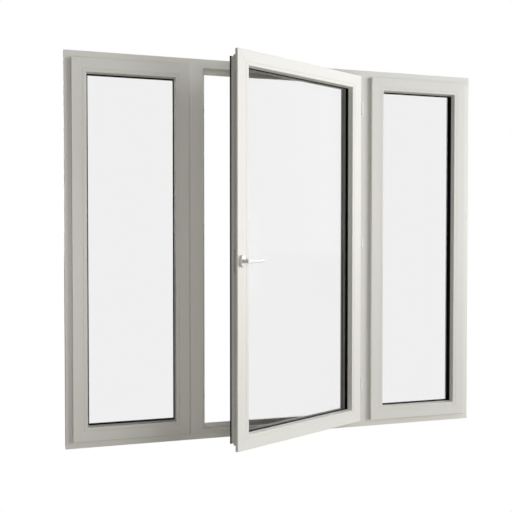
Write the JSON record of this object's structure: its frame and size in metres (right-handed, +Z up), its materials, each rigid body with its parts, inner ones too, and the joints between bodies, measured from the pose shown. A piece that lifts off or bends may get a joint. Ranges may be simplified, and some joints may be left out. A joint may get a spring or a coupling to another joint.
{
  "type": "casement window",
  "caption": "White uPVC casement window: fixed lights on both sides of an inward-opening, side-hinged middle sash with a lever handle, in one welded frame.",
  "frame": {"origin": "middle of the sill's underside, half way through the frame's depth", "axes": "+Z up; +X along the width, to the right seen from the room; -Y towards the room that the sash opens into"},
  "size_m": [2.4, 0.5563, 2.09],
  "materials": {
    "white_pvc": "smooth satin-gloss extruded uPVC",
    "white_paint": "white powder coat",
    "black_rubber": "matt extruded gasket",
    "spacer_bar": "matt black warm-edge bar",
    "glass": "clear float glass with a faint green edge",
    "zinc_steel": "zinc-plated steel"
  },
  "bodies": {
    "frame": {"frame_head": "white_pvc", "frame_sill": "white_pvc", "frame_jamb_left": "white_pvc", "frame_jamb_right": "white_pvc", "mullion_left": "white_pvc", "mullion_right": "white_pvc", "left_sash_top_rail": "white_pvc", "left_sash_bottom_rail": "white_pvc", "left_sash_left_stile": "white_pvc", "left_sash_right_stile": "white_pvc", "left_bead_top": "white_pvc", "left_bead_bottom": "white_pvc", "left_bead_left": "white_pvc", "left_bead_right": "white_pvc", "left_inner_pane": "glass", "left_outer_pane": "glass", "left_spacer": "spacer_bar", "left_glazing_gasket": "black_rubber", "right_sash_top_rail": "white_pvc", "right_sash_bottom_rail": "white_pvc", "right_sash_left_stile": "white_pvc", "right_sash_right_stile": "white_pvc", "right_bead_top": "white_pvc", "right_bead_bottom": "white_pvc", "right_bead_left": "white_pvc", "right_bead_right": "white_pvc", "right_inner_pane": "glass", "right_outer_pane": "glass", "right_spacer": "spacer_bar", "right_glazing_gasket": "black_rubber", "keep_bottom": "zinc_steel", "keep_middle": "zinc_steel", "keep_top": "zinc_steel", "hinge_bottom_frame_leaf": "white_paint", "hinge_middle_frame_leaf": "white_paint", "hinge_top_frame_leaf": "white_paint", "hinge_bottom_pin": "zinc_steel", "hinge_middle_pin": "zinc_steel", "hinge_top_pin": "zinc_steel"},
    "sash": {"middle_sash_top_rail": "white_pvc", "middle_sash_bottom_rail": "white_pvc", "middle_sash_left_stile": "white_pvc", "middle_sash_right_stile": "white_pvc", "middle_bead_top": "white_pvc", "middle_bead_bottom": "white_pvc", "middle_bead_left": "white_pvc", "middle_bead_right": "white_pvc", "middle_inner_pane": "glass", "middle_outer_pane": "glass", "middle_spacer": "spacer_bar", "middle_glazing_gasket": "black_rubber", "rear_seal": "black_rubber", "overlap_seal": "black_rubber", "lock_faceplate": "zinc_steel", "handle_rosette": "white_paint", "hinge_bottom_sash_leaf": "white_paint", "hinge_middle_sash_leaf": "white_paint", "hinge_top_sash_leaf": "white_paint"},
    "handle": {"handle_lever": "white_paint"},
    "drive_rod": {"drive_rod": "zinc_steel"}
  },
  "joints": [
    {"name": "sash_turn", "type": "hinge", "parent": "frame", "child": "sash", "pos_m": [0.4789, -0.0624, 1.045], "axis": [0, 0, 1], "range_deg": [-25.2, 64.8]},
    {"name": "handle_turn", "type": "hinge", "parent": "sash", "child": "handle", "pos_m": [-0.35406, -0.45724, 0.995], "axis": [-0.4258, 0.9048, 0], "range_deg": [0, 90]},
    {"name": "rod_slide", "type": "slide", "parent": "sash", "child": "drive_rod", "axis": [0, 0, -1], "range_m": [0, 0.018]}
  ],
  "couplings": [
    {"joint": "rod_slide", "follows": "handle_turn", "m_per_rad": 0.01145}
  ]
}
